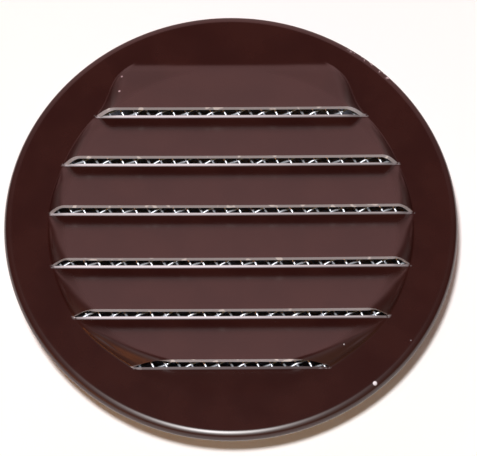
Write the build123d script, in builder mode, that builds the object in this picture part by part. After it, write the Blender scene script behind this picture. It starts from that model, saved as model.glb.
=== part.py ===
"""Round screened mini louver: a louvered sheet face crimped over a fluted collar, with a mesh between them."""

import os
from math import atan2, cos, degrees, radians, sin, tan

from build123d import *

# Driving dimensions in millimetres, with +Z out of the face and +Y towards the top as installed
wall_hole_diameter = 50.8
barrel_depth = 9.5
flange_overhang = 4.75
face_sheet = 0.5
collar_sheet = 0.5
hem_reach = 1.7
rim_clearance = 0.1

# Louvers, lanced out of the face inside one circle
louver_pitch = 7.2
louver_rise = 2.2
field_margin = 0.7
field_top_margin = 2.1
field_bottom_margin = 3.0
slit_land = 0.6
lip_setback = 0.3
shear_gap = 0.05
end_wall_slope = 54.0
hood_corner_radius = 1.3
hollow_overcut = 0.3

# Collar that grips the hole in the wall
collar_bend_radius = 0.6
flute_count = 12
flute_radius = 0.6
flute_depth = 0.3
flute_end_gap = 1.0
lead_in_length = 1.2
lead_in_taper = 0.35

# Woven insect screen, with each strand drawn standing for a bundle of wires
wire_diameter = 0.32
wire_pitch = 1.54
wires_per_strand = 3
weave_angle = 26.6

# Sizes that follow from the driving dimensions
screen_thickness = 2 * wire_diameter
rim_height = 2 * face_sheet + collar_sheet + screen_thickness
rim_radius = rim_height / 2
barrel_radius = wall_hole_diameter / 2
bore_radius = barrel_radius - collar_sheet
flange_radius = barrel_radius + flange_overhang
rim_bend_radius = flange_radius - rim_radius
collar_flange_radius = rim_bend_radius - rim_clearance
screen_radius = collar_flange_radius - rim_clearance
seat_z = barrel_depth
rim_middle_z = seat_z + rim_radius
collar_flange_z = seat_z + face_sheet
screen_z = collar_flange_z + collar_sheet
face_z = seat_z + rim_height
field_radius = bore_radius - field_margin
panel_run = louver_pitch - slit_land
first_slit_y = field_radius - field_top_margin - panel_run
louver_count = 1 + int((first_slit_y + field_radius - field_bottom_margin) / louver_pitch)
rise_per_run = louver_rise / (panel_run - lip_setback)
panel_slope = degrees(atan2(rise_per_run, 1))
wall_run = 1 / tan(radians(end_wall_slope))
hood_depth = 2 * field_radius


def slit_y(row):
    """Height of one slit's lower edge above the centre of the face."""
    return first_slit_y - row * louver_pitch


def hood(row, inset, base_z):
    """Solid under one raised blade down to base_z, moved inwards from the blade's outer skin by the inset.

    It is made deep enough for the blade's slope to leave through the back of the cone of the end walls,
    so that the blade's shoulder is one smooth edge.
    """
    cut_y = slit_y(row) - (shear_gap if inset else 0)
    bend_y = slit_y(row) + panel_run - inset * tan(radians(panel_slope / 2))
    root_z = face_z - inset
    low_z = face_z - hood_depth
    lip_lean = lip_setback / louver_rise
    lip_rise = (bend_y - cut_y + lip_lean * inset) * rise_per_run / (1 + lip_lean * rise_per_run)
    lip = (bend_y - lip_rise / rise_per_run, root_z + lip_rise)
    back = (bend_y + (root_z - low_z) / rise_per_run, low_z)
    front = (cut_y - lip_lean * hood_depth, low_z)
    foot_radius = field_radius + hood_depth * wall_run - inset / sin(radians(end_wall_slope))
    wall_height = lip[1] - low_z

    with BuildPart() as form:
        with BuildSketch(Plane.YZ):
            with BuildLine():
                Polyline(back, lip, front, close=True)
            make_face()
        extrude(amount=foot_radius, both=True)
        with Locations((0, 0, low_z)):
            Cone(
                foot_radius,
                foot_radius - wall_height * wall_run,
                wall_height,
                rotation=(0, 0, -90),
                align=(Align.CENTER, Align.CENTER, Align.MIN),
                mode=Mode.INTERSECT,
            )
        # Only the outer skin's shoulders are rounded, and the hollow keeps them plain
        if not inset:
            blade = form.faces().filter_by(GeomType.PLANE).sort_by(lambda face: face.normal_at().Z)[-1]
            shoulders = [edge for edge in blade.edges() if edge.geom_type != GeomType.LINE]
            fillet(shoulders, hood_corner_radius)
        split(bisect_by=Plane.XY.offset(base_z), keep=Keep.TOP)
    return form.part


blade_skins = [hood(row, 0, face_z - face_sheet / 2) for row in range(louver_count)]
hollow_z = face_z - face_sheet - hollow_overcut
blade_hollows = [hood(row, face_sheet, hollow_z) for row in range(louver_count)]

# Face: one painted sheet with a rolled rim, hemmed under the collar's flange, with a plain turn inside it
with BuildPart() as louver_face:
    with BuildSketch(Plane.XZ):
        with BuildLine():
            top = Line((0, face_z), (rim_bend_radius, face_z))
            roll = ThreePointArc(top @ 1, (flange_radius, rim_middle_z), (rim_bend_radius, seat_z))
            Polyline(
                roll @ 1,
                (rim_bend_radius - hem_reach, seat_z),
                (rim_bend_radius - hem_reach, collar_flange_z),
                (rim_bend_radius, collar_flange_z),
                (flange_radius - face_sheet, rim_middle_z),
                (rim_bend_radius, face_z - face_sheet),
                (0, face_z - face_sheet),
                top @ 0,
            )
        make_face()
    revolve(axis=Axis.Z)
    add(blade_skins)
    add(blade_hollows, mode=Mode.SUBTRACT)
louver_face.part.label = "louver_face"

# Screen: crossing strands of wire in two layers, its edge clamped between the face and the collar
strand_pitch = wires_per_strand * wire_pitch
strand_width = wires_per_strand * wire_diameter
strands_across = int(2 * screen_radius / strand_pitch)
with BuildPart() as insect_screen:
    for layer, turn in enumerate((weave_angle, weave_angle + 90)):
        with BuildSketch(Plane.XY.offset(screen_z + layer * wire_diameter).rotated((0, 0, turn))):
            with GridLocations(strand_pitch, strand_pitch, strands_across, 1):
                Rectangle(strand_width, 2 * screen_radius)
            Circle(screen_radius, mode=Mode.INTERSECT)
        extrude(amount=wire_diameter)
insect_screen.part.label = "insect_screen"

# Collar: a spun ring with its flange caught in the face's hem and a fluted barrel that grips the hole,
# each side of its bend drawn as one facet that touches the bend's arc at its middle
facet_share = 2 * (1 - cos(radians(45)))
under_facet = facet_share * collar_bend_radius
over_facet = facet_share * (collar_bend_radius + collar_sheet)
with BuildPart() as mounting_collar:
    with BuildSketch(Plane.XZ):
        with BuildLine():
            Polyline(
                (barrel_radius - lead_in_taper, 0),
                (barrel_radius, lead_in_length),
                (barrel_radius, collar_flange_z - under_facet),
                (barrel_radius + under_facet, collar_flange_z),
                (collar_flange_radius, collar_flange_z),
                (collar_flange_radius, screen_z),
                (bore_radius + over_facet, screen_z),
                (bore_radius, screen_z - over_facet),
                (bore_radius, lead_in_length),
                (bore_radius - lead_in_taper, 0),
                close=True,
            )
        make_face()
    revolve(axis=Axis.Z)
    flute_bottom = lead_in_length + flute_end_gap
    flute_top = collar_flange_z - collar_bend_radius - flute_end_gap
    flute_places = PolarLocations(barrel_radius + flute_radius - flute_depth, flute_count)
    with BuildSketch(Plane.XY.offset(flute_bottom - collar_sheet)):
        with flute_places:
            Circle(flute_radius + collar_sheet)
        Circle(bore_radius + collar_sheet / 2, mode=Mode.INTERSECT)
    extrude(amount=flute_top - flute_bottom + 2 * collar_sheet)
    with BuildSketch(Plane.XY.offset(flute_bottom)):
        with flute_places:
            Circle(flute_radius)
    extrude(amount=flute_top - flute_bottom, mode=Mode.SUBTRACT)
mounting_collar.part.label = "mounting_collar"

os.makedirs("parts", exist_ok=True)
export_step(louver_face.part, "parts/louver_face.step")
export_step(insect_screen.part, "parts/insect_screen.step")
export_step(mounting_collar.part, "parts/mounting_collar.step")
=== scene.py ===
import math

import bpy
from mathutils import Matrix, Vector


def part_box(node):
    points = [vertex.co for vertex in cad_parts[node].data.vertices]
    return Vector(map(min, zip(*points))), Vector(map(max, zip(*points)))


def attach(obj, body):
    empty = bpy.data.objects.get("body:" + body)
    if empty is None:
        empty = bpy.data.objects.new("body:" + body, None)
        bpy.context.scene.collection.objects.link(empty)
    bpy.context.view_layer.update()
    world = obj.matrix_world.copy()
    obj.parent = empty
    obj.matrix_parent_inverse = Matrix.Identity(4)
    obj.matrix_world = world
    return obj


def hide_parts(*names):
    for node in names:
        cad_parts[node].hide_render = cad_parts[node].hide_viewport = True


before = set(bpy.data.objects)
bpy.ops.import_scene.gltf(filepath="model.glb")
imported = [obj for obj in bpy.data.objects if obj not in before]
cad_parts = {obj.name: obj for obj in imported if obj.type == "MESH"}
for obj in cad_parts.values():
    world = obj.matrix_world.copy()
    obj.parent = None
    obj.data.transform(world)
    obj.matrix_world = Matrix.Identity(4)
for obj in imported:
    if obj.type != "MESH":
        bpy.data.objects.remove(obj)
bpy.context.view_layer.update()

# Louver face: one aluminium sheet, painted dark brown before it was stamped, with six blades lanced
# out of it inside nearly one circle. Its edge is rolled over and hemmed under the collar's flange.
MM = 0.001
face_low, face_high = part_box("louver_face")
SHEET = 0.5 * MM
BLADE_RISE = 2.2 * MM
FLANGE_RADIUS = min(face_high[0], face_high[1])
FACE_Z = face_high[2] - BLADE_RISE
RIM_RADIUS = (FACE_Z - face_low[2]) / 2
FLAT_RADIUS = FLANGE_RADIUS - RIM_RADIUS
HEM_REACH = 1.7 * MM

# Circle of the louvers, inside which the middle of the face sags
FIELD_RADIUS = 24.2 * MM
SAG = 0.22 * MM

# Turn from flat, and again from upright, about which the rim's roll is easiest
EASY_TURN = math.radians(17.5)
EASY_SPREAD = math.radians(10.0)
EASY_GAIN = 5.0

# Slits, each straying a little from an even pitch
SLITS = 6
PITCH = 7.2 * MM
FIRST_SLIT = 15.5 * MM
SLIT_STRAYS = (-0.10 * MM, 0.11 * MM, 0.24 * MM, -0.03 * MM, -0.03 * MM, 0.13 * MM)

# Blades, each rising from a bend below the slit above it to a lip over its own slit
LAND = 0.35 * MM
FIRST_BEND = 22.85 * MM
BEND_BLEND = 0.5 * MM
LIP_SETBACK = 0.3 * MM
SHOULDER_BLENDS = (1.1 * MM, 1.3 * MM, 1.6 * MM, 1.7 * MM, 1.9 * MM, 2.1 * MM)

# Distance of the blades' ends from the middle of the face, at the first bend and then at each slit
END_RADII = (26.4 * MM, 23.7 * MM, 23.8 * MM, 24.2 * MM, 24.4 * MM, 24.6 * MM, 24.1 * MM)
END_SLOPE = math.tan(math.radians(60))
ROOT_BLEND = 0.15 * MM

# Lower edge of each slit, which the shear rolled up and dragged upwards
EDGE_ROLL = 0.07 * MM
LAST_EDGE_ROLL = 0.02 * MM
EDGE_ROLL_WIDTH = 0.16 * MM
EDGE_DRAG = 0.06 * MM

# Rows and columns of the mesh, close together at the slits' edges and the blades' end walls
TOP_ROWS = 46
BLADE_ROWS = (15, 15, 15, 15, 24)
BOTTOM_ROWS = 26
EDGE_ROWS = 9
EDGE_SPAN = 3 * EDGE_ROLL_WIDTH
PANEL_STEPS = 40
WALL_STEPS = 36
FLANGE_STEPS = 12
WALL_ZONE_IN = 2.4 * MM
WALL_ZONE_OUT = 0.6 * MM
ROLL_STEPS = 15
UNDER_STEPS = 5
HEM_STEPS = 3
SLIT_END_WELD = 0.12 * MM
CUT_EDGE_ANGLE = math.radians(50)


def ramp(value, blend):
    """Zero below -blend, the value itself above blend, and a parabola that joins them between."""
    if value <= -blend:
        return 0.0
    if value >= blend:
        return value
    return (value + blend) ** 2 / (4 * blend)


def smooth_step(low, high, value):
    """Zero below low, one above high, smooth between."""
    part = min(max((value - low) / (high - low), 0.0), 1.0)
    return part * part * (3 - 2 * part)


def lower_of(first, second, blend):
    """The lower of two heights with their crease rounded, and no dip where both are near zero."""
    low = min(first, second)
    blend = min(blend, 2 * low)
    if blend <= 0:
        return low
    return low - max(blend - abs(first - second), 0.0) ** 2 / (4 * blend)


def spaced(start, end, steps):
    """Evenly spaced values after start, up to and with end."""
    return [start + (end - start) * i / steps for i in range(1, steps + 1)]


def slit_line(row):
    """Height of one slit up the face."""
    return FIRST_SLIT - row * PITCH + SLIT_STRAYS[row]


def end_radius(y):
    """Distance of the blades' ends from the middle of the face, at one height up the face."""
    places = [FIRST_BEND] + [slit_line(row) for row in range(SLITS)]
    for upper, lower, first, second in zip(places, places[1:], END_RADII, END_RADII[1:]):
        if y >= lower:
            return second + (first - second) * smooth_step(lower, upper, y)
    return END_RADII[-1]


def wall_height(x, y):
    """Height of the blades' end walls over the flange, as if they went on upwards."""
    return ramp((end_radius(y) - math.hypot(x, y)) * END_SLOPE, ROOT_BLEND)


def edge_share(strip, x, y):
    """Share of the roll and drag that the sheet has near the slit above a strip, up to one at its edge."""
    if strip == 0:
        return 0.0
    off = (slit_line(strip - 1) - y) / EDGE_ROLL_WIDTH
    return math.exp(-off * off) * smooth_step(0, 2 * BLADE_RISE, wall_height(x, y))


def blade_height(strip, x, y):
    """Height of the sheet's outer skin over the flange on one strip between two slits."""
    height = edge_share(strip, x, y) * (EDGE_ROLL if strip < SLITS else LAST_EDGE_ROLL)
    if strip < SLITS:
        bend = slit_line(strip - 1) - LAND if strip else FIRST_BEND
        slope = BLADE_RISE / (bend - slit_line(strip))
        panel = ramp((bend - y) * slope, BEND_BLEND * slope)
        height += lower_of(panel, wall_height(x, y), SHOULDER_BLENDS[strip])
    spread = max(0.0, 1 - (x * x + y * y) / FIELD_RADIUS**2)
    return height - SAG * spread


def face_point(strip, x, y):
    """Point of the sheet's outer skin on one strip, with its lip set back and its upper edge dragged up."""
    height = blade_height(strip, x, y)
    shift = EDGE_DRAG * edge_share(strip, x, y)
    if strip < SLITS:
        near_lip = min(max((slit_line(strip) + PITCH - y) / PITCH, 0.0), 1.0)
        shift += LIP_SETBACK * max(height, 0.0) / BLADE_RISE * near_lip**2
    return Vector((x, y + shift, FACE_Z + height))


def strip_rows(strip):
    """Places of the rows of vertices on one strip, from its upper edge to its lower edge."""
    if strip == 0:
        turns = spaced(math.pi / 2, math.asin(slit_line(0) / FLAT_RADIUS), TOP_ROWS)
        return [FLAT_RADIUS] + [FLAT_RADIUS * math.sin(turn) for turn in turns]
    top = slit_line(strip - 1)
    edge = [top] + spaced(top, top - EDGE_SPAN, EDGE_ROWS)
    if strip < SLITS:
        return edge + spaced(edge[-1], slit_line(strip), BLADE_ROWS[strip - 1])
    turns = spaced(math.asin(edge[-1] / FLAT_RADIUS), -math.pi / 2, BOTTOM_ROWS)
    return edge + [FLAT_RADIUS * math.sin(turn) for turn in turns]


def row_places(y):
    """Places across one row of the flat face, closest together where the blades' end walls stand."""
    half = math.sqrt(max(FLAT_RADIUS**2 - y * y, 0.0))
    end = math.sqrt(max(end_radius(y) ** 2 - y * y, 0.0))
    even = half / (PANEL_STEPS + WALL_STEPS + FLANGE_STEPS)
    wall_start = max(end - WALL_ZONE_IN, even * PANEL_STEPS)
    wall_end = max(end + WALL_ZONE_OUT, even * (PANEL_STEPS + WALL_STEPS))
    right = spaced(0, wall_start, PANEL_STEPS)
    right += spaced(wall_start, wall_end, WALL_STEPS)
    right += spaced(wall_end, half, FLANGE_STEPS)
    return [-x for x in reversed(right)] + [0.0] + right


def rim_section():
    """Places across the rim, out from the flat face's edge and down from it.

    Its roll is easy near the face and again where it stands upright, with a plain quarter turn to the hem.
    """
    out, down = 0.0, 0.0
    places = []
    half_step = math.pi / 4 / ROLL_STEPS
    for end in spaced(0, math.pi / 2, ROLL_STEPS):
        turn = end - half_step
        near_face = math.exp(-(((turn - EASY_TURN) / EASY_SPREAD) ** 2))
        upright = math.exp(-(((math.pi / 2 - turn - EASY_TURN) / EASY_SPREAD) ** 2))
        bend = 1 + EASY_GAIN * (near_face + upright)
        out += bend * math.cos(turn)
        down += bend * math.sin(turn)
        places.append((out, down))
    scale = RIM_RADIUS / out
    section = [(scale * out, scale * down) for out, down in places]
    for turn in spaced(math.pi / 2, math.pi, UNDER_STEPS):
        section.append((RIM_RADIUS * math.sin(turn), RIM_RADIUS - RIM_RADIUS * math.cos(turn)))
    return section + [(reach, 2 * RIM_RADIUS) for reach in spaced(0, -HEM_REACH, HEM_STEPS)]


def add_vertex(verts, point):
    """Number of the vertex that is added at a point."""
    verts.append(point)
    return len(verts) - 1


def strip_grid(verts, strip, lip_row):
    """Rows of vertices over one strip, the first welded at its ends to the lip of the blade above it."""
    grid = []
    for y in strip_rows(strip):
        points = [face_point(strip, x, y) for x in row_places(y)]
        if (points[0] - points[-1]).length < SLIT_END_WELD:
            grid.append([add_vertex(verts, points[0])] * len(points))
        elif lip_row and not grid:
            row = []
            for lip, point in zip(lip_row, points):
                welded = (verts[lip] - point).length < SLIT_END_WELD
                row.append(lip if welded else add_vertex(verts, point))
            grid.append(row)
        else:
            grid.append([add_vertex(verts, point) for point in points])
    return grid


def grid_faces(grid):
    """Quads between the rows of a grid, or triangles where two corners are one vertex."""
    faces = []
    for upper, lower in zip(grid, grid[1:]):
        for i in range(len(upper) - 1):
            corners = list(dict.fromkeys((upper[i], lower[i], lower[i + 1], upper[i + 1])))
            if len(corners) > 2:
                faces.append(corners)
    return faces


def new_piece(name, verts, faces):
    """Smooth mesh object of one piece, put in the scene."""
    mesh = bpy.data.meshes.new(name)
    mesh.from_pydata(verts, [], faces)
    mesh.update()
    mesh.shade_smooth()
    piece = bpy.data.objects.new(name, mesh)
    bpy.context.scene.collection.objects.link(piece)
    return piece


def make_face():
    """Outer skin of the whole sheet: its strips from the top down, then the rim round them."""
    verts, faces = [], []
    left_edge, right_edge = [], []
    lip_row = None
    for strip in range(SLITS + 1):
        grid = strip_grid(verts, strip, lip_row)
        faces += grid_faces(grid)
        lip_row = grid[-1]
        for row in grid:
            if not left_edge or left_edge[-1] != row[0]:
                left_edge.append(row[0])
                right_edge.append(row[-1])

    # The rim's roll and the hem under it, swept round the edge of the flat face
    outline = left_edge + right_edge[-2:0:-1]
    previous = outline
    for out, down in rim_section():
        ring = []
        for index in outline:
            away = verts[index].xy.normalized() * (FLAT_RADIUS + out)
            ring.append(add_vertex(verts, Vector((away.x, away.y, FACE_Z - down))))
        for i in range(len(outline)):
            j = (i + 1) % len(outline)
            faces.append((previous[j], previous[i], ring[i], ring[j]))
        previous = ring
    return new_piece("painted_face", verts, faces)


class Value:
    """A shader value: arithmetic on it adds Math nodes to its graph."""

    def __init__(self, graph, socket):
        self.graph = graph
        self.socket = socket

    def math(self, operation, *others):
        return self.graph.node("ShaderNodeMath", {"operation": operation}, [self, *others])

    def __add__(self, other):
        return self.math("ADD", other)

    __radd__ = __add__

    def __sub__(self, other):
        return self.math("SUBTRACT", other)

    def __rsub__(self, other):
        return self.graph.node("ShaderNodeMath", {"operation": "SUBTRACT"}, [other, self])

    def __mul__(self, other):
        return self.math("MULTIPLY", other)

    __rmul__ = __mul__

    def step(self, low, high):
        """Zero below low, one above high, smooth between."""
        settings = {"interpolation_type": "SMOOTHSTEP"}
        sockets = {"Value": self, "From Min": low, "From Max": high}
        return self.graph.node("ShaderNodeMapRange", settings, sockets)

    def band(self, low, high, soft):
        """One between low and high, with soft ends outside them."""
        return self.step(low - soft, low) * (1 - self.step(high, high + soft))


class Graph:
    """The shader nodes of one material or world, with the place or direction that they work from."""

    # Numbers of the Mix node's colour sockets, because its other sockets have the same names
    FIRST_COLOUR = 6
    SECOND_COLOUR = 7
    MIXED_COLOUR = 2

    def __init__(self, tree, coordinate):
        self.tree = tree
        self.place = self.node("ShaderNodeTexCoord", output=coordinate)

    def node(self, kind, settings=None, inputs=(), output=0):
        """Output of a new node, with its settings made and its sockets given values or links."""
        made = self.tree.nodes.new(kind)
        for key, setting in (settings or {}).items():
            setattr(made, key, setting)
        pairs = inputs.items() if isinstance(inputs, dict) else enumerate(inputs)
        for key, given in pairs:
            self.give(made.inputs[key], given)
        return Value(self, made.outputs[output])

    def give(self, socket, given):
        """Link a shader value to a socket, or set the socket to a plain one."""
        if isinstance(given, Value):
            self.tree.links.new(given.socket, socket)
        else:
            socket.default_value = given

    def axes(self):
        return [self.node("ShaderNodeSeparateXYZ", {}, [self.place], axis) for axis in "XYZ"]

    def noise(self, scale, detail, where=None):
        """Noise with about as many cells to a metre as its scale."""
        sockets = {"Vector": where or self.place, "Scale": scale, "Detail": detail}
        return self.node("ShaderNodeTexNoise", {}, sockets)

    def mix(self, factor, first, second):
        """Colour between first and second by the factor."""
        sockets = {"Factor": factor, self.FIRST_COLOUR: first, self.SECOND_COLOUR: second}
        return self.node("ShaderNodeMix", {"data_type": "RGBA"}, sockets, self.MIXED_COLOUR)

    def bump(self, height, distance, strength):
        sockets = {"Height": height, "Distance": distance, "Strength": strength}
        return self.node("ShaderNodeBump", {}, sockets)


class Finish(Graph):
    """One material, worked out from the place of a point on its piece in metres."""

    def __init__(self, name):
        self.material = bpy.data.materials.new(name)
        self.material.use_nodes = True
        super().__init__(self.material.node_tree, "Object")

    def made(self, **sockets):
        """The material, with its shader's sockets given by their names in small letters."""
        shader = self.tree.nodes["Principled BSDF"]
        for key, given in sockets.items():
            self.give(shader.inputs[key.replace("_", " ").title()], given)
        return self.material


# Enamel, thinner in clouds, with the bare metal under it
ENAMEL_BROWN = (0.0250, 0.0060, 0.0050, 1)
ENAMEL_BROWN_THIN = (0.0305, 0.0080, 0.0064, 1)
BARE_METAL = (0.62, 0.57, 0.60, 1)
CLOUD_SCALE = 160.0
CLOUD_LIMITS = (0.35, 0.65)

# Scraped strip along each slit's lower edge, how bare it is there, and how that fades to the right
SCRAPED_WIDTH = 0.24 * MM
SCRAPED_SOFT = 0.12 * MM
SCRAPES = (0.78, 0.78, 0.60, 0.80, 0.70, 0.15)
SCRAPE_FADE = 0.62
SCRAPE_FADE_PLACES = (-14 * MM, 16 * MM)

# Flecks of bare metal in the nicks at the slits' ends and along a worn stretch of the rim
FLECK_SCALE = 1500.0
NICK = 0.35 * MM
NICK_BARE = 0.35
NICK_FLECKS = (0.50, 0.55)
WORN_ARC = (math.radians(45), math.radians(55))
WORN_ARC_SOFT = math.radians(4)
WORN_RADII = (FLANGE_RADIUS - 0.8 * MM, FLANGE_RADIUS - 0.4 * MM)
WORN_HEIGHTS = (FACE_Z - 0.9 * MM, FACE_Z - 0.5 * MM)
WORN_FLECKS = (0.56, 0.60)

# Bare spots in the paint, each with its place across and up the face and its radius, bare in its core.
# The fourth is a painted highlight at a blade's corner, not a chip.
SPECKS = (
    (18.7 * MM, -22.7 * MM, 0.34 * MM),
    (23.5 * MM, -16.8 * MM, 0.08 * MM),
    (-14.9 * MM, 18.5 * MM, 0.18 * MM),
    # Painted highlight: this bare spot stands for a highlight at a blade's corner
    (-14.6 * MM, 21.0 * MM, 0.16 * MM),
    (14.7 * MM, -17.7 * MM, 0.12 * MM),
)
SPECK_CORE = 0.6

# Roughness of the paint, what patches, the rim, the drawn end walls and wear add to it, and its peel
PAINT_ROUGHNESS = 0.20
PATCH_ROUGHNESS = 0.03
PATCH_SCALE = 420.0
RIM_ROUGHNESS = 0.10
RIM_RADII = (FLAT_RADIUS - 0.1 * MM, FLAT_RADIUS + 0.3 * MM)
WALL_ROUGHNESS = 0.16
WALL_RADII = (FIELD_RADIUS - 2.6 * MM, FIELD_RADIUS - 1.4 * MM)
WALL_HEIGHTS = (FACE_Z + 0.05 * MM, FACE_Z + 0.5 * MM)
SCUFF_ROUGHNESS = 0.25
BARE_ROUGHNESS = 0.18
PEEL_SCALE = 900.0
PEEL_DEPTH = 0.004 * MM
PEEL_STRENGTH = 0.25


def brown_enamel():
    """Baked brown paint, scraped bare along the slits' lower edges and chipped in a few places, with one
    bare spot that is a painted highlight.
    """
    finish = Finish("brown_enamel")
    x, y, z = finish.axes()
    radius = (x * x + y * y).math("SQRT")
    around = y.math("ARCTAN2", x)
    fleck = finish.noise(FLECK_SCALE, detail=3.0)
    cloud = finish.noise(CLOUD_SCALE, detail=3.0).step(*CLOUD_LIMITS)
    paint = finish.mix(cloud, ENAMEL_BROWN, ENAMEL_BROWN_THIN)

    leftwards = 1 - SCRAPE_FADE * x.step(*SCRAPE_FADE_PLACES)
    bare = 0.0
    scuffed = 0.0
    for row, scrape in enumerate(SCRAPES):
        slit = slit_line(row)
        end = end_radius(slit)
        inside = leftwards * (1 - radius.step(end - NICK, end))
        at_end = radius.band(end - NICK, end, NICK) * NICK_BARE * fleck.step(*NICK_FLECKS)
        below_slit = y.band(slit - SCRAPED_WIDTH, slit + EDGE_DRAG, SCRAPED_SOFT)
        scuffed = scuffed + below_slit * inside
        bare = bare + below_slit * (scrape * inside).math("MAXIMUM", at_end)

    worn_rim = radius.step(*WORN_RADII) * z.step(*WORN_HEIGHTS) * around.band(*WORN_ARC, WORN_ARC_SOFT)
    bare = bare.math("MAXIMUM", worn_rim * fleck.step(*WORN_FLECKS))
    for across, up, size in SPECKS:
        away = ((x - across) * (x - across) + (y - up) * (y - up)).math("SQRT")
        bare = bare.math("MAXIMUM", 1 - away.step(SPECK_CORE * size, size))

    roughness = PAINT_ROUGHNESS + PATCH_ROUGHNESS * finish.noise(PATCH_SCALE, detail=3.0)
    roughness += RIM_ROUGHNESS * radius.step(*RIM_RADII)
    roughness += WALL_ROUGHNESS * radius.step(*WALL_RADII) * z.step(*WALL_HEIGHTS)
    roughness += SCUFF_ROUGHNESS * scuffed + BARE_ROUGHNESS * bare
    return finish.made(
        base_color=finish.mix(bare, paint, BARE_METAL),
        metallic=bare,
        roughness=roughness,
        normal=finish.bump(finish.noise(PEEL_SCALE, detail=1.0), PEEL_DEPTH, PEEL_STRENGTH),
    )


# Wash on the back of the sheet, kept dark and bluish as painted shade inside the slits
WASH_SHADE_DARK = (0.014, 0.015, 0.018, 1)
WASH_SHADE_PALE = (0.022, 0.023, 0.027, 1)
WASH_SCALE = 240.0
WASH_LIMITS = (0.3, 0.7)
WASH_ROUGHNESS = 0.5
WASH_MOTTLE_ROUGHNESS = 0.1


def back_coat_and_shade():
    """Thin dark wash on the back of the painted sheet, kept bluish and dark as painted shade under the
    blades.
    """
    finish = Finish("back_coat_and_shade")
    mottle = finish.noise(WASH_SCALE, detail=3.0).step(*WASH_LIMITS)
    return finish.made(
        base_color=finish.mix(mottle, WASH_SHADE_DARK, WASH_SHADE_PALE),
        roughness=WASH_ROUGHNESS + WASH_MOTTLE_ROUGHNESS * mottle,
    )


# Cut through the sheet
DULL_CUT = (0.43, 0.41, 0.44, 1)
BRIGHT_BURR = (0.85, 0.82, 0.83, 1)
BURR_SCALE = 700.0
BURR_LIMITS = (0.62, 0.70)
CUT_METALLIC = 0.2
CUT_GRAIN_SCALE = 5200.0
CUT_GRAIN_DEPTH = 0.01 * MM
CUT_GRAIN_STRENGTH = 0.5
CUT_ROUGHNESS = 0.50
CUT_GRAIN_ROUGHNESS = 0.12


def sheared_edge():
    """Dull bare metal where the die cut through the sheet, with a few bright burrs."""
    finish = Finish("sheared_edge")
    grain = finish.noise(CUT_GRAIN_SCALE, detail=2.0)
    burrs = finish.noise(BURR_SCALE, detail=1.0).step(*BURR_LIMITS)
    return finish.made(
        base_color=finish.mix(burrs, DULL_CUT, BRIGHT_BURR),
        metallic=CUT_METALLIC,
        roughness=CUT_ROUGHNESS + CUT_GRAIN_ROUGHNESS * grain,
        normal=finish.bump(grain, CUT_GRAIN_DEPTH, CUT_GRAIN_STRENGTH),
    )


face = make_face()
for material in (brown_enamel(), back_coat_and_shade(), sheared_edge()):
    face.data.materials.append(material)
# The thickness lies behind the outer skin, with the second material there and the third at the cuts
thickness = face.modifiers.new("sheet_thickness", "SOLIDIFY")
thickness.thickness = SHEET
thickness.offset = -1
thickness.material_offset = 1
thickness.material_offset_rim = 2
cut_edges = face.modifiers.new("cut_edges", "EDGE_SPLIT")
cut_edges.split_angle = CUT_EDGE_ANGLE
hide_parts("louver_face")
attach(face, "root")

# Insect screen: plain-woven bright aluminium wire, cut to a disc and clamped at its edge between
# the face and the collar's flange, turned at an angle to the slits.
screen_low, screen_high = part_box("insect_screen")
SCREEN_RADIUS = screen_high[0]
SCREEN_Z = (screen_low[2] + screen_high[2]) / 2
WIRE_RADIUS = (screen_high[2] - screen_low[2]) / 4
WIRE_PITCH = 1.54 * MM
WEAVE_ANGLE = math.radians(26.6)
WEAVE_SHIFT = (0.12 * MM, 1.16 * MM)
WIRE_SIDES = 6
STEPS_PER_CROSSING = 6
FEWEST_STEPS = 8
UP = Vector((0, 0, 1))


def add_wire(verts, faces, centres, across):
    """Add one round wire along its centres, with a flat cap at each end."""
    start = len(verts)
    for centre in centres:
        for side in range(WIRE_SIDES):
            turn = 2 * math.pi * side / WIRE_SIDES
            verts.append(centre + WIRE_RADIUS * (across * math.cos(turn) + UP * math.sin(turn)))
    last = len(verts) - WIRE_SIDES
    for ring in range(start, last, WIRE_SIDES):
        for side in range(WIRE_SIDES):
            near = ring + side
            next_near = ring + (side + 1) % WIRE_SIDES
            faces.append((near, next_near, next_near + WIRE_SIDES, near + WIRE_SIDES))
    faces.append([start + side for side in reversed(range(WIRE_SIDES))])
    faces.append([last + side for side in range(WIRE_SIDES)])


def make_screen():
    """Two families of wires at a right angle, each wire going over and under those of the other family."""
    verts, faces = [], []
    count = int(SCREEN_RADIUS / WIRE_PITCH) + 1
    for family, shift in enumerate(WEAVE_SHIFT):
        angle = WEAVE_ANGLE + family * math.pi / 2
        along = Vector((math.cos(angle), math.sin(angle), 0))
        across = Vector((-math.sin(angle), math.cos(angle), 0))
        other_shift = -WEAVE_SHIFT[1] if family == 0 else WEAVE_SHIFT[0]
        for number in range(-count, count + 1):
            offset = number * WIRE_PITCH + shift
            if abs(offset) > SCREEN_RADIUS - WIRE_PITCH / 2:
                continue
            reach = math.sqrt(SCREEN_RADIUS**2 - offset**2)
            steps = max(FEWEST_STEPS, round(2 * reach / WIRE_PITCH * STEPS_PER_CROSSING))
            centres = []
            for run in [-reach] + spaced(-reach, reach, steps):
                crossing = (run - other_shift) / WIRE_PITCH + number + family
                lift = WIRE_RADIUS * math.cos(math.pi * crossing)
                centres.append(along * run + across * offset + UP * (SCREEN_Z + lift))
            add_wire(verts, faces, centres, across)
    return new_piece("woven_screen", verts, faces)


# Aluminium grey with a blue tint, which paints the cool reflections on the wires
WIRE_COLOUR = (0.86, 0.90, 0.97, 1)
WIRE_METALLIC = 0.75
WIRE_ROUGHNESS = 0.34
WIRE_GRAIN_ROUGHNESS = 0.15
WIRE_GRAIN_SCALE = 2600.0


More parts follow.
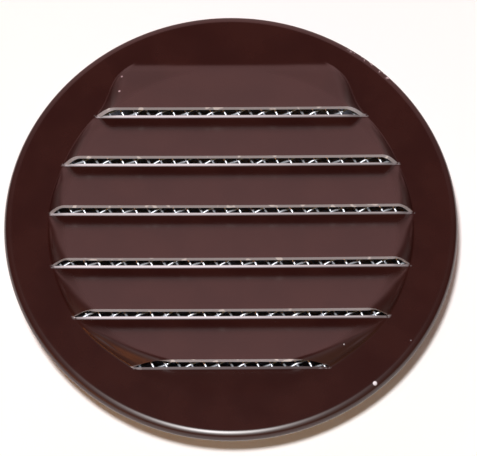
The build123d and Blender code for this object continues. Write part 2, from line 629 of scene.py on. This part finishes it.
def bright_wire():
    """Drawn aluminium, a little dull in places, its grey tinted blue as a painted cool reflection."""
    finish = Finish("bright_wire")
    return finish.made(
        base_color=WIRE_COLOUR,
        metallic=WIRE_METALLIC,
        roughness=WIRE_ROUGHNESS + WIRE_GRAIN_ROUGHNESS * finish.noise(WIRE_GRAIN_SCALE, detail=2.0),
    )


screen = make_screen()
screen.data.materials.append(bright_wire())
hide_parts("insect_screen")
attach(screen, "root")

# Mounting collar: a spun aluminium ring left in its mill finish, with a fluted barrel that is pressed
# into the hole in the wall. The solid itself is shown, with fine lines round it from the spinning.
MILL_DARK = (0.62, 0.62, 0.63, 1)
MILL_PALE = (0.74, 0.74, 0.75, 1)
MILL_CLOUD_SCALE = 90.0
MILL_LINE_SCALE = 9000.0
MILL_LINE_STRETCH = 0.05
MILL_LINE_DEPTH = 0.004 * MM
MILL_LINE_STRENGTH = 0.3
MILL_ROUGHNESS = 0.30
MILL_LINE_ROUGHNESS = 0.18


def mill_aluminium():
    """Bare grey aluminium with fine lines round the barrel."""
    finish = Finish("mill_aluminium")
    x, y, z = finish.axes()
    stretched_place = [x * MILL_LINE_STRETCH, y * MILL_LINE_STRETCH, z]
    stretched = finish.node("ShaderNodeCombineXYZ", {}, stretched_place)
    lines = finish.noise(MILL_LINE_SCALE, detail=2.0, where=stretched)
    return finish.made(
        base_color=finish.mix(finish.noise(MILL_CLOUD_SCALE, detail=3.0), MILL_DARK, MILL_PALE),
        metallic=1.0,
        roughness=MILL_ROUGHNESS + MILL_LINE_ROUGHNESS * lines,
        normal=finish.bump(lines, MILL_LINE_DEPTH, MILL_LINE_STRENGTH),
    )


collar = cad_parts["mounting_collar"]
collar.data.materials.clear()
collar.data.materials.append(mill_aluminium())

# Stage: a wide white card on which the louver lies, with a grey-blue disc inside its barrel as painted
# shade, in a dim warm room with a pale window behind. A small lamp stands high in front, and a warm one low
# at the left.
CARD_HALF = 900 * MM
CARD_CORNERS = [(x * CARD_HALF, y * CARD_HALF, 0) for x, y in ((-1, -1), (1, -1), (1, 1), (-1, 1))]
CARD_WHITE = (0.9, 0.9, 0.9, 1)
CARD_ROUGHNESS = 0.6
# Disc inside the barrel, no part of the louver: it paints the shade seen through the slits and wires
SHADE_DISC_RADIUS = 24.3 * MM
SHADE_DISC_SIDES = 64
SHADE_DISC_Z = 0.2 * MM
SHADE_DISC_TURNS = spaced(0, 2 * math.pi, SHADE_DISC_SIDES)
SHADE_DISC_EDGE = [
    (SHADE_DISC_RADIUS * math.cos(turn), SHADE_DISC_RADIUS * math.sin(turn), SHADE_DISC_Z) for turn in SHADE_DISC_TURNS
]
SHADE_DISC_GREY = (0.32, 0.33, 0.42, 1)
SHADE_DISC_ROUGHNESS = 0.9

# Light of the room, with the limits of its window and of its front as parts of a direction of length one
WINDOW_LIGHT = (1.42, 0.84, 0.84, 1)
ROOM_LIGHT = (0.265, 0.185, 0.085, 1)
DARK_LIGHT = (0.015, 0.013, 0.012, 1)
WINDOW_BACK = (0.30, 0.75)
WINDOW_SIDES = (-0.30, 0.30)
WINDOW_SIDES_SOFT = 0.60
WINDOW_HEIGHTS = (0.10, 0.66)
WINDOW_HEIGHTS_SOFT = 0.12
FRONT_END = (-0.55, -0.10)
FRONT_HEIGHTS = (-0.05, 0.10)


def white_card():
    return Finish("white_card").made(base_color=CARD_WHITE, roughness=CARD_ROUGHNESS)


# Finish of the disc inside the barrel, grey-blue as painted shade
def painted_shade_finish():
    return Finish("painted_shade_finish").made(base_color=SHADE_DISC_GREY, roughness=SHADE_DISC_ROUGHNESS)


def dim_room():
    """Light of the room by direction."""
    world = bpy.data.worlds.new("dim_room")
    world.use_nodes = True
    graph = Graph(world.node_tree, "Generated")
    x, y, z = graph.axes()
    window = y.step(*WINDOW_BACK) * x.band(*WINDOW_SIDES, WINDOW_SIDES_SOFT)
    window = window * z.band(*WINDOW_HEIGHTS, WINDOW_HEIGHTS_SOFT)
    front = (1 - y.step(*FRONT_END)) * z.step(*FRONT_HEIGHTS)
    colour = graph.mix(front, DARK_LIGHT, ROOM_LIGHT)
    colour = graph.mix(window, colour, WINDOW_LIGHT)
    graph.give(graph.tree.nodes["Background"].inputs["Color"], colour)
    return world


def lamp(name, place, width, height, power, colour):
    """Oval lamp that faces the middle of the card, placed and sized in metres, with its power in watts."""
    light = bpy.data.lights.new(name, "AREA")
    light.shape = "ELLIPSE"
    light.size = width
    light.size_y = height
    light.energy = power
    light.color = colour
    holder = bpy.data.objects.new(name, light)
    holder.location = place
    holder.rotation_euler = (-Vector(place)).to_track_quat("-Z", "Y").to_euler()
    bpy.context.scene.collection.objects.link(holder)


card = new_piece("white_card", CARD_CORNERS, [(0, 1, 2, 3)])
card.data.materials.append(white_card())
# Grey-blue disc inside the barrel, as painted shade under the screen
shade_disc = new_piece("painted_shade_disc", SHADE_DISC_EDGE, [range(SHADE_DISC_SIDES)])
shade_disc.data.materials.append(painted_shade_finish())
bpy.context.scene.world = dim_room()
lamp("key_lamp", place=(-0.034, -0.180, 0.75), width=0.05, height=0.05, power=6.0, colour=(1.0, 0.98, 0.98))
lamp("warm_lamp", place=(-0.53, -0.38, 0.30), width=0.40, height=0.10, power=0.60, colour=(1.0, 0.30, 0.09))

# Camera: above the card with a long lens, tipped back from straight down as the photograph is. Its aim
# puts the middle of the face where the disc's middle stands in the photograph.
IMAGE_WIDTH = 477
IMAGE_HEIGHT = 456
DISC_CENTRE_PX = (231.0, 222.0)
FOCAL_PX = 3770.7
DISTANCE = 500 * MM
TIP = math.radians(21.6)
ROLL = math.radians(-0.27)
SENSOR = 36.0
NEAREST_SEEN = 10 * MM

view_right = Vector((1, 0, 0))
view_up = Vector((0, math.cos(TIP), math.sin(TIP)))
view_line = Vector((0, math.sin(TIP), -math.cos(TIP)))
metres_per_px = DISTANCE / FOCAL_PX
aim = Vector((0, 0, FACE_Z))
aim += view_right * (IMAGE_WIDTH / 2 - DISC_CENTRE_PX[0]) * metres_per_px
aim -= view_up * (IMAGE_HEIGHT / 2 - DISC_CENTRE_PX[1]) * metres_per_px
camera_data = bpy.data.cameras.new("camera")
camera_data.sensor_width = SENSOR
camera_data.lens = FOCAL_PX * SENSOR / IMAGE_WIDTH
camera_data.clip_start = NEAREST_SEEN
camera = bpy.data.objects.new("camera", camera_data)
tipped = Matrix((view_right, view_up, -view_line)).transposed().to_4x4()
rolled = tipped @ Matrix.Rotation(ROLL, 4, "Z")
camera.matrix_world = Matrix.Translation(aim - view_line * DISTANCE) @ rolled
bpy.context.scene.collection.objects.link(camera)
bpy.context.scene.camera = camera
bpy.context.scene.view_settings.view_transform = "Standard"
